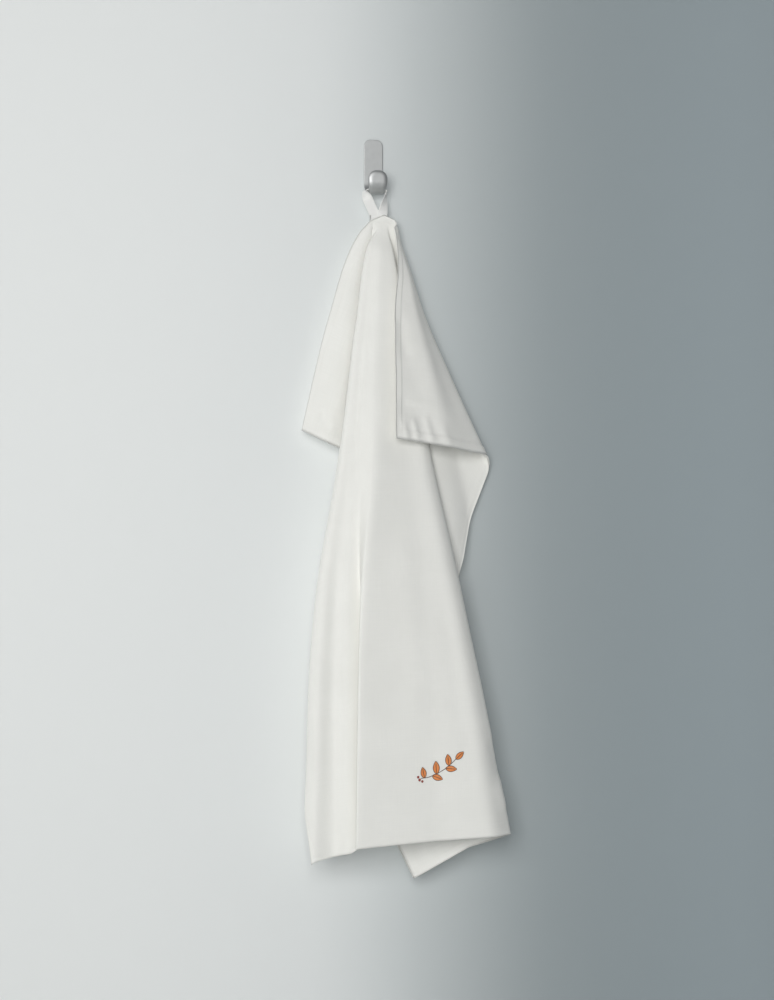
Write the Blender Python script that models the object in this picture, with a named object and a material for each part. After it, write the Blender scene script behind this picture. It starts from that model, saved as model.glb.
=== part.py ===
"""Tea towel hanging by its tape loop from a wall hook.

The origin is the middle of the hook's flat back face, which looks to +Y.
Everything built stands on its -Y side, and +Z is up.
Sizes are metres, apart from the fold table, which is in millimetres.
"""
import math
from collections import namedtuple

import bmesh
import bpy
import numpy as np
from mathutils import Vector

MM = 0.001
QUARTER_TURN = math.radians(90)

# Towel: one rectangle of cloth, held at the middle of a short edge
TOWEL_WIDTH = 0.520
TOWEL_LENGTH = 0.700
CLOTH_THICKNESS = 0.0014
HANG_POINT = Vector((0.0089, -0.0172, -0.0610))

# Share of its full width to which the flat cloth spreads at the hang point
FLAT_SPREAD = 0.92
# Distances between which the cloth goes from flat to folded, straight down the middle and
# along the top hem, and the angles in degrees between which one becomes the other
MIDDLE_FOLDS = (0.003, 0.046)
HEM_FOLDS = (0.0125, 0.027)
HEM_FOLDS_BETWEEN = (50.0, 85.0)
FOLD_ROUNDING = 0.011
FOLD_ROUNDING_MOST = math.radians(3.2)
ROUNDING_WEIGHTS = (1, 2, 3, 4, 4, 4, 3, 2, 1)

# Distances from the hang point, in mm, at which the fold table gives a place
STATIONS = (0, 35, 130, 280, 450, 745)

# One row for each fold: its name, the angle in degrees at which it runs in the flat
# cloth (0 is straight down the middle, -90 and 90 are the two halves of the top hem),
# how far to the side and how far forward it lies, in mm, at each station, and
# how far its lower end is drawn up, in mm, or let down where the bias has stretched
Fold = namedtuple("Fold", "name angle side forward drawn_up")
FOLDS = (
    Fold("left free edge", -90.0, (0, -28.2, -62, -99), (0, -2.0, -3, 0), -16),
    Fold("left flap ridge", -80.5, (0, -21.0, -44, -69), (0, 1.5, 6, 11), -14),
    Fold("left tuck at the back", -66.0, (0, -7.0, -5, -2), (0, -5.0, -7, -9), 0),
    Fold("left tuck turning back", -57.0, (0, -12.5, -27, -44), (0, -2.8, 0, 4), 0),
    Fold("left tuck behind the front", -41.5, (0, -5.0, 3, 14, 24), (0, -1.0, 6, 16, 22), 0),
    Fold("left outer fold", -22.6, (0, -18.6, -37, -58, -86, -101), (0, 3.4, 12, 25, 32, 40), 22),
    Fold("left column", -19.8, (0, -15.8, -32, -52, -76, -88), (0, 6.0, 18, 35, 44, 52), 25),
    Fold("valley of the column", -17.6, (0, -14.4, -30, -47, -62, -66), (0, 6.4, 18, 34, 38, 44), 22),
    Fold("inner ridge of the column", -15.0, (0, -12.3, -26, -41, -51, -48), (0, 6.9, 19, 37, 46, 54), 18),
    Fold("tuck in the front", -11.5, (0, -9.7, -22, -34, -33, 12), (0, 7.5, 20, 39, 40, 34), 40),
    Fold("edge of the front panel", -4.6, (0, -5.0, -13, -21, -39, -50), (0, 9.0, 25, 48, 60, 70), 2),
    Fold("middle of the front panel", 4.0, (0, 2.5, 8, 20, 33, 50), (0, 7.8, 21, 35, 46, 60), 9),
    Fold("side of the front panel", 9.2, (0, 7.0, 20, 42, 73, 118), (0, 6.2, 17.5, 31, 44, 60), 12),
    Fold("right outer fold", 11.5, (0, 8.6, 25, 52, 89, 146), (0, 5.0, 13, 19, 26, 36), 14),
    Fold("back of the right fold", 15.5, (0, 6.4, 17, 38, 64, 92), (0, 2.5, 8, 15, 22, 30), 20),
    Fold("right corner at the back", 20.4, (0, 4.4, 9, 20, 33, 31), (0, 0.1, 4, 8, 12, 14), 9),
    Fold("right tuck at the back", 26.0, (0, 2.1, 0, 0, -8, -70), (0, -2.6, 0, 1, 0, -5), 6),
    Fold("valley behind the flap", 37.0, (0, 9.0, 24, 50, 84), (0, -3.4, -1, 6, 3), 0),
    Fold("right valley at the back", 47.0, (0, 13.5, 37, 82, 118), (0, -3.2, -5, -7, -11), 0),
    Fold("back of the flap's fold", 57.5, (0, 17.8, 48, 112), (0, -1.0, -1, -8), 0),
    Fold("front of the flap's fold", 63.0, (0, 18.0, 49, 113), (0, 1.2, 3, 4), -4),
    Fold("middle of the right flap", 72.5, (0, 15.6, 36, 73), (0, 4.8, 19, 34), -8),
    Fold("right free edge", 90.0, (0, 11.8, 5, 0), (0, 8.0, 29, 57), -20),
)

# Mesh of the cloth: finer in angle where it reaches furthest down
BOTTOM_CORNER = math.degrees(math.atan2(TOWEL_WIDTH / 2, TOWEL_LENGTH))
SIDE_COLUMNS = 36
BOTTOM_COLUMNS = 40
ROWS = (0.025, 0.05, 0.085, 0.13, 0.19, 0.27, 0.37, 0.48, 0.6, 0.72, 0.83, 0.92, 1.0)
RAY_STEPS = 150

# Hanging loop: one narrow tape, sewn to the back of the top hem by both ends
TAPE_WIDTH = 0.0115
TAPE_THICKNESS = 0.0009
SEAM_GAP = 0.0003
LOOP_FORWARD = 0.0010
LOOP_BEND = 0.0026
LOOP_SEWN = 0.0100
LOOP_AT_BACK_BY = 0.8
LOOP_STEPS = 10
LOOP_BEND_STEPS = 5

# Places on a strand, as shares of its way down, at which its turned shares stand
TURN_PLACES = (0.0, 0.4, 1.0)

# One row for each strand of the loop: its side, the layers of tape between it and the
# cloth, where its top and its foot are to the side, and how far it has turned, at each
# place, from lying in the cradle to lying flat on the cloth
Strand = namedtuple("Strand", "side layers top_x foot_x turned")
STRANDS = (
    Strand(-1, 1, -0.0128, -0.0008, (0.12, 1.0, 1.0)),
    Strand(1, 0, 0.0124, 0.0073, (0.12, 0.45, 1.0)),
)

# Wall hook: one strip with rounded ends, a flat plate above and a tongue in front,
# bent between them into a cradle, at the bottom of which it is a little narrower
STRIP_WIDTH = 0.0214
STRIP_WAIST = 0.0022
HOOK_THICKNESS = 0.0020
PLATE_TOP = 0.0248
PLATE_CORNER = 0.0075
CRADLE_RADIUS = 0.0120
CRADLE_CENTRE_Z = -0.0238
TONGUE_TOP = -0.0131
TONGUE_CORNER = 0.0090
CRADLE_STEPS = 18
ROUND_END_STEPS = 16

# Materials: colour, roughness, metallic share and the angle past which an edge is sharp
Finish = namedtuple("Finish", "name colour roughness metallic sharp_angle")
LINEN = Finish("Bleached linen", (0.75, 0.75, 0.72, 1.0), 0.95, 0.0, 60)
TAPE = Finish("Cotton tape", (0.78, 0.78, 0.76, 1.0), 0.90, 0.0, 40)
STEEL = Finish("Satin steel", (0.33, 0.34, 0.35, 1.0), 0.35, 1.0, 30)


def clear_scene():
    for item in list(bpy.data.objects):
        bpy.data.objects.remove(item, do_unlink=True)


def material(finish):
    result = bpy.data.materials.new(finish.name)
    result.use_nodes = True
    shader = result.node_tree.nodes["Principled BSDF"]
    shader.inputs["Base Color"].default_value = finish.colour
    shader.inputs["Roughness"].default_value = finish.roughness
    shader.inputs["Metallic"].default_value = finish.metallic
    return result


def add_object(name, built, finish):
    """Turn a finished bmesh into an object with its material and smooth shading."""
    bmesh.ops.recalc_face_normals(built, faces=built.faces)
    mesh = bpy.data.meshes.new(name)
    built.to_mesh(mesh)
    built.free()
    mesh.materials.append(material(finish))
    mesh.shade_smooth()
    mesh.set_sharp_from_angle(angle=math.radians(finish.sharp_angle))
    item = bpy.data.objects.new(name, mesh)
    bpy.context.scene.collection.objects.link(item)


def join_rings(built, rings):
    """Skin a row of four-cornered rings and close both of its ends."""
    for one, two in zip(rings, rings[1:]):
        for i, corner in enumerate(one):
            j = (i + 1) % len(one)
            built.faces.new((corner, one[j], two[j], two[i]))
    built.faces.new(rings[0])
    built.faces.new(reversed(rings[-1]))


def smooth_step(value, start, end):
    share = min(1.0, max(0.0, (value - start) / (end - start)))
    return share * share * (3.0 - 2.0 * share)


def smooth_through(stations, values, place):
    """A smooth curve through a fold's values, straight on past its last one."""
    last = len(values) - 1
    known = stations[:last + 1]
    slopes = [(values[i + 1] - values[i]) / (known[i + 1] - known[i]) for i in range(last)]
    if place >= known[last]:
        return values[last] + slopes[-1] * (place - known[last])
    tangents = [slopes[0]]
    tangents += [(slopes[i] + slopes[i + 1]) / 2 for i in range(last - 1)]
    tangents += [slopes[-1]]
    part = max(i for i in range(last) if known[i] <= place)
    span = known[part + 1] - known[part]
    t = (place - known[part]) / span
    return (values[part] * (1 + 2 * t) * (1 - t) ** 2
            + values[part + 1] * t * t * (3 - 2 * t)
            + tangents[part] * span * t * (1 - t) ** 2
            - tangents[part + 1] * span * t * t * (1 - t))


def fold_path(distance):
    """Where each fold lies at one distance from the hang point, in metres."""
    angles = [math.radians(fold.angle) for fold in FOLDS]
    side = [smooth_through(STATIONS, fold.side, distance / MM) * MM for fold in FOLDS]
    forward = [smooth_through(STATIONS, fold.forward, distance / MM) * MM for fold in FOLDS]
    return np.array(angles), np.array(side), np.array(forward)


def drawn_up(angle):
    """Share of the way down that is taken up in small waves too fine to show."""
    angles = [math.radians(fold.angle) for fold in FOLDS]
    lifts = [fold.drawn_up / STATIONS[-1] for fold in FOLDS]
    return float(np.interp(angle, angles, lifts))


def rounded(path_angles, values, angle, window):
    """The value between two folds, averaged over a window so that folds are round."""
    samples = np.linspace(angle - window, angle + window, len(ROUNDING_WEIGHTS))
    samples = np.clip(samples, path_angles[0], path_angles[-1])
    return float(np.average(np.interp(samples, path_angles, values), weights=ROUNDING_WEIGHTS))


def cloth_ray(angle, reach):
    """Points down one straight line of the cloth, from the hang point to its edge."""
    steps = np.linspace(0.0, reach, RAY_STEPS + 1)
    points = [np.zeros(3)]
    kept = 1.0 - drawn_up(angle)
    by_hem = smooth_step(abs(math.degrees(angle)), *HEM_FOLDS_BETWEEN)
    flat_until, folded_from = [middle + (hem - middle) * by_hem
                               for middle, hem in zip(MIDDLE_FOLDS, HEM_FOLDS)]
    side_before = 0.0
    forward_before = 0.0
    for distance in steps[1:]:
        path_angles, side_path, forward_path = fold_path(distance)
        window = min(FOLD_ROUNDING_MOST, FOLD_ROUNDING / distance)
        share = smooth_step(distance, flat_until, folded_from)
        side = rounded(path_angles, side_path, angle, window)
        forward = rounded(path_angles, forward_path, angle, window)
        side = (1 - share) * FLAT_SPREAD * distance * math.sin(angle) + share * side
        forward = share * forward
        length = steps[1]
        across = math.hypot(side - side_before, forward - forward_before)
        drop = math.sqrt(max(length ** 2 - across ** 2, 0.0)) * kept
        points.append(np.array((side, -forward, points[-1][2] - drop)))
        side_before = side
        forward_before = forward
    return steps, np.array(points)


def cloth_reach(angle):
    """How far the cloth runs from the hang point at one angle."""
    across = abs(math.sin(angle))
    down = math.cos(angle)
    half = TOWEL_WIDTH / 2
    if across * TOWEL_LENGTH > down * half:
        return half / across
    return TOWEL_LENGTH / down


def cloth_angles():
    left = np.linspace(-90.0, -BOTTOM_CORNER, SIDE_COLUMNS + 1)
    bottom = np.linspace(-BOTTOM_CORNER, BOTTOM_CORNER, BOTTOM_COLUMNS + 1)
    right = np.linspace(BOTTOM_CORNER, 90.0, SIDE_COLUMNS + 1)
    return np.radians(np.concatenate((left, bottom[1:-1], right)))


def cloth_grid():
    """Middle surface of the cloth: one column of points for each angle."""
    columns = []
    for angle in cloth_angles():
        reach = cloth_reach(angle)
        steps, points = cloth_ray(angle, reach)
        wanted = np.array(ROWS) * reach
        column = np.stack([np.interp(wanted, steps, points[:, axis]) for axis in range(3)], axis=1)
        columns.append(column)
    return np.array(columns) + np.array(HANG_POINT)


def grid_normals(grid):
    """Directions square to the cloth, which point out of its back."""
    along = np.gradient(grid, axis=0)
    down = np.gradient(grid, axis=1)
    normals = np.cross(along, down)
    return normals / np.linalg.norm(normals, axis=2, keepdims=True)


def build_towel():
    grid = cloth_grid()
    normals = grid_normals(grid)
    half = CLOTH_THICKNESS / 2
    columns, rows = grid.shape[:2]
    mesh = bmesh.new()
    sheets = []
    for side in (-1, 1):
        tip = mesh.verts.new(HANG_POINT + Vector((0, half * side, 0)))
        points = grid + normals * half * side
        sheets.append((tip, [[mesh.verts.new(points[c, r]) for r in range(rows)]
                             for c in range(columns)]))
    for tip, verts in sheets:
        for c in range(columns - 1):
            mesh.faces.new((tip, verts[c][0], verts[c + 1][0]))
            for r in range(rows - 1):
                mesh.faces.new((verts[c][r], verts[c][r + 1], verts[c + 1][r + 1], verts[c + 1][r]))
    rims = []
    for tip, verts in sheets:
        rim = [tip] + verts[0] + [verts[c][-1] for c in range(1, columns)]
        rim += verts[-1][-2::-1]
        rims.append(rim)
    front, back = rims
    for i in range(len(front)):
        j = (i + 1) % len(front)
        mesh.faces.new((front[i], front[j], back[j], back[i]))
    add_object("towel", mesh, LINEN)


def band_ring(built, centre, across, facing):
    """Four corners of a flat strip, from its half width and half thickness."""
    corners = (-across - facing, across - facing, across + facing, -across + facing)
    return [built.verts.new(centre + corner) for corner in corners]


def loop_route():
    """The tape from its left sewn end, over the cradle, to its right sewn end."""
    front_edge = TAPE_WIDTH / 2 + LOOP_FORWARD
    seat_rise = CRADLE_RADIUS - math.sqrt(CRADLE_RADIUS ** 2 - front_edge ** 2)
    seat_z = CRADLE_CENTRE_Z - CRADLE_RADIUS + seat_rise + TAPE_THICKNESS / 2 + SEAM_GAP
    seat_y = -(HOOK_THICKNESS + CRADLE_RADIUS + LOOP_FORWARD)
    cloth_back = HANG_POINT.y + CLOTH_THICKNESS / 2
    halves = []
    for strand in STRANDS:
        foot_y = cloth_back - TAPE_THICKNESS / 2 + (strand.layers + 1) * (TAPE_THICKNESS + SEAM_GAP)
        top_z = seat_z - LOOP_BEND
        points = []
        for step in range(LOOP_BEND_STEPS, 0, -1):
            share = step / LOOP_BEND_STEPS
            turn = QUARTER_TURN * share
            place = Vector((strand.top_x - strand.side * LOOP_BEND * (1 - math.cos(turn)), seat_y,
                            top_z + LOOP_BEND * math.sin(turn)))
            points.append((place, strand.turned[0] * (1 - share)))
        for step in range(LOOP_STEPS + 1):
            t = step / LOOP_STEPS
            place = Vector((strand.top_x + (strand.foot_x - strand.top_x) * t,
                            seat_y + (foot_y - seat_y) * min(1.0, t / LOOP_AT_BACK_BY),
                            top_z + (HANG_POINT.z - top_z) * t))
            points.append((place, float(np.interp(t, TURN_PLACES, strand.turned))))
        points.append((place - Vector((0, 0, LOOP_SEWN)), 1.0))
        halves.append(points)
    left, right = halves
    return left[::-1] + right


def build_loop():
    """The band lies flat in the cradle and turns to lie flat on the cloth's back."""
    route = loop_route()
    centres = [place for place, share in route]
    mesh = bmesh.new()
    rings = []
    for i, (place, share) in enumerate(route):
        before = centres[max(0, i - 1)]
        after = centres[min(len(centres) - 1, i + 1)]
        along = (after - before).normalized()
        turn = share * QUARTER_TURN
        depth = Vector((0, 1, 0))
        depth = (depth - along * depth.dot(along)).normalized()
        face = along.cross(depth).normalized()
        across = depth * math.cos(turn) + face * math.sin(turn)
        facing = along.cross(across).normalized()
        rings.append(band_ring(mesh, place, across * TAPE_WIDTH / 2, facing * TAPE_THICKNESS / 2))
    join_rings(mesh, rings)
    # The faces of the twisted strands aren't flat, so each is split in two that are
    bmesh.ops.triangulate(mesh, faces=mesh.faces)
    add_object("hanging_loop", mesh, TAPE)


def hook_stations():
    """Half width, place and facing direction of the strip, from plate top to tongue tip."""
    half = STRIP_WIDTH / 2
    middle = HOOK_THICKNESS / 2
    turn_radius = CRADLE_RADIUS + middle
    centre_y = -(HOOK_THICKNESS + CRADLE_RADIUS)
    stations = []
    for step in range(ROUND_END_STEPS + 1):
        turn = QUARTER_TURN * step / ROUND_END_STEPS
        reach = half - PLATE_CORNER + PLATE_CORNER * math.sin(turn)
        z = PLATE_TOP - PLATE_CORNER + PLATE_CORNER * math.cos(turn)
        stations.append((reach, Vector((0, -middle, z)), Vector((0, -1, 0))))
    for step in range(CRADLE_STEPS + 1):
        turn = math.pi * step / CRADLE_STEPS
        place = Vector((0, centre_y + turn_radius * math.cos(turn),
                        CRADLE_CENTRE_Z - turn_radius * math.sin(turn)))
        facing = Vector((0, -math.cos(turn), math.sin(turn)))
        stations.append((half - STRIP_WAIST * math.sin(turn) ** 2, place, facing))
    tongue_y = centre_y - turn_radius
    for step in range(ROUND_END_STEPS, -1, -1):
        turn = QUARTER_TURN * step / ROUND_END_STEPS
        reach = half - TONGUE_CORNER + TONGUE_CORNER * math.sin(turn)
        z = TONGUE_TOP - TONGUE_CORNER + TONGUE_CORNER * math.cos(turn)
        stations.append((reach, Vector((0, tongue_y, z)), Vector((0, 1, 0))))
    return stations


def build_hook():
    """One strip of steel, its outline cut first and then bent to a J."""
    mesh = bmesh.new()
    rings = []
    for reach, place, facing in hook_stations():
        rings.append(band_ring(mesh, place, Vector((reach, 0, 0)), facing * HOOK_THICKNESS / 2))
    join_rings(mesh, rings)
    add_object("wall_hook", mesh, STEEL)


clear_scene()
build_towel()
build_loop()
build_hook()
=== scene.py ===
"""Tea towel on a steel wall hook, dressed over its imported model.

Sizes are metres, apart from values and columns whose comments say mm, degrees or pixels.
"""
import math

import bmesh
import bpy
import numpy as np
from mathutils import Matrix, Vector, noise


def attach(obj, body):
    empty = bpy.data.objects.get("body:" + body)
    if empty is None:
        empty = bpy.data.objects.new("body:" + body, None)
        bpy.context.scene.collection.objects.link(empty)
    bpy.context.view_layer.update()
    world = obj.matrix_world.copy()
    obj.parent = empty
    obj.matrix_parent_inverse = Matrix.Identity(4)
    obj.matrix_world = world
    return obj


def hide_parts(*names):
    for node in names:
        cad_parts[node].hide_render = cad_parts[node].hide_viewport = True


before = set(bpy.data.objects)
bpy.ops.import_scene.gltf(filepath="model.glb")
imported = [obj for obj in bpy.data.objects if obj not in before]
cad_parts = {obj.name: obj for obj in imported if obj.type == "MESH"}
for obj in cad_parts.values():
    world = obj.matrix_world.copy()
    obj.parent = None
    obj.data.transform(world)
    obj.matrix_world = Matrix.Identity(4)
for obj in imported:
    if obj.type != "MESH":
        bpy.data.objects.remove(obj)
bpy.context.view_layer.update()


# The wall hook
# A strip of stainless steel, cut with round ends, its edges rolled over, and then bent
# to a J. The flat plate is held from behind, and the loop hangs in the bend.
STRIP_WIDTH = 0.0214
STRIP_WAIST = 0.0022
STEEL_THICKNESS = 0.0020
PLATE_TOP = 0.0248
PLATE_CORNER = 0.0075
BEND_RADIUS = 0.0120
BEND_CENTRE_Z = -0.0238
TONGUE_TOP = -0.0131
TONGUE_CORNER = 0.0090
PLATE_EDGE_ROLL = 0.0004
TONGUE_EDGE_ROLL = 0.0048
TONGUE_DOME = 0.0008
# Shares of the way round the bend between which the strip goes from plain to pressed
PRESSED_BETWEEN = (0.1, 0.8)
PLATE_LENGTH = PLATE_TOP - BEND_CENTRE_Z
MIDDLE_RADIUS = BEND_RADIUS + STEEL_THICKNESS / 2
BEND_LENGTH = math.pi * MIDDLE_RADIUS
STRIP_LENGTH = PLATE_LENGTH + BEND_LENGTH + TONGUE_TOP - BEND_CENTRE_Z
END_STEPS = 16
PLATE_STEPS = 12
BEND_STEPS = 36
TONGUE_STEPS = 3
ACROSS_STEPS = 26
MERGE_DISTANCE = 1e-6

STEEL_COLOUR = (0.535, 0.545, 0.545, 1.0)
STEEL_DARKER = 0.93
STEEL_LIGHTER = 1.05
STEEL_ROUGHNESS_RANGE = (0.46, 0.60)
BRUSHING = (2600.0, 2600.0, 90.0)


def smooth_step(value, start, end):
    share = np.clip((value - start) / (end - start), 0.0, 1.0)
    return share * share * (3.0 - 2.0 * share)


def link(item):
    bpy.context.scene.collection.objects.link(item)
    return item


def new_material(name):
    finish = bpy.data.materials.new(name)
    finish.use_nodes = True
    tree = finish.node_tree
    return finish, tree, tree.nodes["Principled BSDF"]


def node(tree, kind, links=(), **values):
    """Add one node, set its values by input name or property, and join its inputs."""
    made = tree.nodes.new(kind)
    for name, value in values.items():
        label = name.replace("_", " ")
        if hasattr(made, name):
            setattr(made, name, value)
        else:
            made.inputs[label].default_value = value
    for socket, source in links:
        tree.links.new(source, made.inputs[socket])
    return made


def math_node(tree, operation, *values):
    """One sum in a node tree, on sockets or plain numbers."""
    made = tree.nodes.new("ShaderNodeMath")
    made.operation = operation
    for socket, value in zip(made.inputs, values):
        if isinstance(value, float):
            socket.default_value = value
        else:
            tree.links.new(value, socket)
    return made.outputs[0]


def shaded(colour, times):
    """A lighter or darker tone of a colour."""
    return tuple(min(part * times, 1.0) for part in colour[:3]) + (1.0,)


def mix_colours(tree, shader, factor, first, second):
    """Colour a material with a mix of two tones."""
    tone = node(tree, "ShaderNodeMix", [("Factor", factor)], data_type="RGBA")
    # Sockets 6 and 7 are this node's two colours, and output 2 is their mix
    for socket, colour in ((6, first), (7, second)):
        tone.inputs[socket].default_value = colour
    tree.links.new(tone.outputs[2], shader.inputs["Base Color"])


def add_relief(tree, shader, height, strength, distance):
    """Give a material a fine relief."""
    relief = node(tree, "ShaderNodeBump", [("Height", height)], Strength=strength,
                  Distance=distance)
    tree.links.new(relief.outputs["Normal"], shader.inputs["Normal"])


def smooth_object(mesh, name):
    """An object of a closed mesh, shaded smooth."""
    bmesh.ops.recalc_face_normals(mesh, faces=mesh.faces)
    data = bpy.data.meshes.new(name)
    mesh.to_mesh(data)
    mesh.free()
    data.shade_smooth()
    return link(bpy.data.objects.new(name, data))


def strip_section(along):
    """Half width, corner radius, edge roll and dome of its face at a place on the strip."""
    share = min(max((along - PLATE_LENGTH) / BEND_LENGTH, 0.0), 1.0)
    half = STRIP_WIDTH / 2 - STRIP_WAIST * math.sin(math.pi * share) ** 2
    corner = PLATE_CORNER if along < STRIP_LENGTH / 2 else TONGUE_CORNER
    pressed = smooth_step(share, *PRESSED_BETWEEN)
    roll = PLATE_EDGE_ROLL + (TONGUE_EDGE_ROLL - PLATE_EDGE_ROLL) * pressed
    return half, corner, roll, TONGUE_DOME * pressed


def strip_stations():
    """Places along the strip, closest together at its round ends."""
    bend_end = PLATE_LENGTH + BEND_LENGTH
    rounding = 1 - np.cos(np.linspace(0, math.pi / 2, END_STEPS + 1))
    top = rounding * PLATE_CORNER
    straight = np.linspace(PLATE_CORNER, PLATE_LENGTH, PLATE_STEPS + 1)
    around = np.linspace(PLATE_LENGTH, bend_end, BEND_STEPS + 1)
    tip = STRIP_LENGTH - rounding[::-1] * TONGUE_CORNER
    tongue = np.linspace(bend_end, tip[0], TONGUE_STEPS + 1)
    return np.concatenate((top, straight[1:], around[1:], tongue[1:], tip[1:]))


def strip_place(along):
    """Middle line of the bent strip: its point and the way that its outer face looks."""
    centre_y = -(STEEL_THICKNESS + BEND_RADIUS)
    if along <= PLATE_LENGTH:
        return Vector((0, -STEEL_THICKNESS / 2, PLATE_TOP - along)), Vector((0, 1, 0))
    turn = (along - PLATE_LENGTH) / MIDDLE_RADIUS
    if turn < math.pi:
        facing = Vector((0, math.cos(turn), -math.sin(turn)))
        return Vector((0, centre_y, BEND_CENTRE_Z)) + facing * MIDDLE_RADIUS, facing
    rise = along - PLATE_LENGTH - BEND_LENGTH
    return Vector((0, centre_y - MIDDLE_RADIUS, BEND_CENTRE_Z + rise)), Vector((0, -1, 0))


def build_hook():
    """The inner and the outer face of the strip, row by row, which meet at its edges."""
    shares = np.sin(np.linspace(-math.pi / 2, math.pi / 2, ACROSS_STEPS + 1))
    mesh = bmesh.new()
    faces_of_strip = {1: [], -1: []}
    for along in strip_stations():
        half, corner, roll, dome = strip_section(along)
        past_round = max(corner - min(along, STRIP_LENGTH - along), 0.0)
        reach = half - corner + math.sqrt(max(corner ** 2 - past_round ** 2, 0.0))
        centre, facing = strip_place(along)
        for side, rows in faces_of_strip.items():
            row = []
            for share in shares:
                across = share * reach
                past_side = max(abs(across) - half + corner, 0.0)
                inside = corner - math.hypot(past_side, past_round)
                rolled = min(max(inside / roll, 0.0), 1.0)
                full = STEEL_THICKNESS / 2 + max(side, 0) * dome
                height = full * math.sqrt(1 - (1 - rolled) ** 2)
                place = centre + Vector((across, 0, 0)) + facing * height * side
                row.append(mesh.verts.new(place))
            rows.append(row)
    for rows in faces_of_strip.values():
        for above, below in zip(rows, rows[1:]):
            for i in range(ACROSS_STEPS):
                mesh.faces.new((above[i], above[i + 1], below[i + 1], below[i]))
    bmesh.ops.remove_doubles(mesh, verts=mesh.verts, dist=MERGE_DISTANCE)
    return smooth_object(mesh, "steel_hook")


def satin_steel():
    """Steel brushed along the strip, a little cloudy."""
    finish, tree, shader = new_material("Satin steel")
    shader.inputs["Metallic"].default_value = 1.0
    place = node(tree, "ShaderNodeTexCoord")
    brushing = node(tree, "ShaderNodeMapping", [("Vector", place.outputs["Object"])],
                    Scale=BRUSHING)
    grain = node(tree, "ShaderNodeTexNoise", [("Vector", brushing.outputs[0])],
                 Scale=1.0, Detail=3.0, Roughness=0.6)
    cloud = node(tree, "ShaderNodeTexNoise", [("Vector", place.outputs["Object"])],
                 Scale=160.0, Detail=2.0)
    mix_colours(tree, shader, cloud.outputs["Fac"], shaded(STEEL_COLOUR, STEEL_DARKER),
                shaded(STEEL_COLOUR, STEEL_LIGHTER))
    gloss = node(tree, "ShaderNodeMapRange", [("Value", grain.outputs["Fac"])],
                 To_Min=STEEL_ROUGHNESS_RANGE[0], To_Max=STEEL_ROUGHNESS_RANGE[1])
    tree.links.new(gloss.outputs["Result"], shader.inputs["Roughness"])
    add_relief(tree, shader, grain.outputs["Fac"], strength=0.12, distance=0.00005)
    return finish


hook = build_hook()
hook.data.materials.append(satin_steel())
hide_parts("wall_hook")
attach(hook, "root")


# The towel
# One rectangle of bleached linen in plain weave, hemmed all round with a 10 mm hem that is
# turned to the back. It hangs from the middle of its top hem, so that its sides fall in folds.
TOWEL_WIDTH = 0.520
TOWEL_LENGTH = 0.700
HANG_POINT = np.array((0.0089, -0.0172, -0.0610))
HEM_WIDTH = 0.010
HEM_STEP = 0.0009
# The same in mm, in which the tables are given
HALF_WIDTH_MM = TOWEL_WIDTH / 2 * 1000
LENGTH_MM = TOWEL_LENGTH * 1000
HEM_MM = HEM_WIDTH * 1000
STEP_MM = HEM_STEP * 1000
CLOTH_THICKNESS = 0.0007
HEM_EXTRA_FRONT = 0.00006
HEM_EXTRA_BACK = 0.00038
EDGE_BULGE = 0.00035
# How much of a hem's extra thickness is added once more where two hems cross
CORNER_EXTRA = 0.35
# Mesh lines in mm: how far out from the hang point they lie close together, across and down,
# their spacing there and elsewhere, and those in a hem as shares of its width
FINE_UNTIL = (42.0, 62.0)
FINE_PITCH = (1.5, 1.6)
PLAIN_PITCH = 3.6
HEM_LINES = (1.0, 0.66, 0.33, 0.0)
TOP_HEM_LINES = (0.0, 0.2, 0.4, 0.6, 0.8, 1.0)
LINE_TOLERANCE = 0.001
TINY = 1e-12

THREAD_PITCH = 0.00055
# Relief of the threads' crossings beside that of the slubs
WEAVE_SHARE = 0.35
# Waves per metre along and across the two sets of threads
SLUB_SCALES = ((30.0, 1100.0, 1.0), (1100.0, 30.0, 1.0))
LINEN_LIGHT = (0.865, 0.862, 0.828, 1.0)
LINEN_SHADE = (0.825, 0.822, 0.788, 1.0)

# Distances from the hang point, in mm, at which the fold table gives a place
STATIONS = (0, 35, 130, 280, 450, 745)

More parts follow.
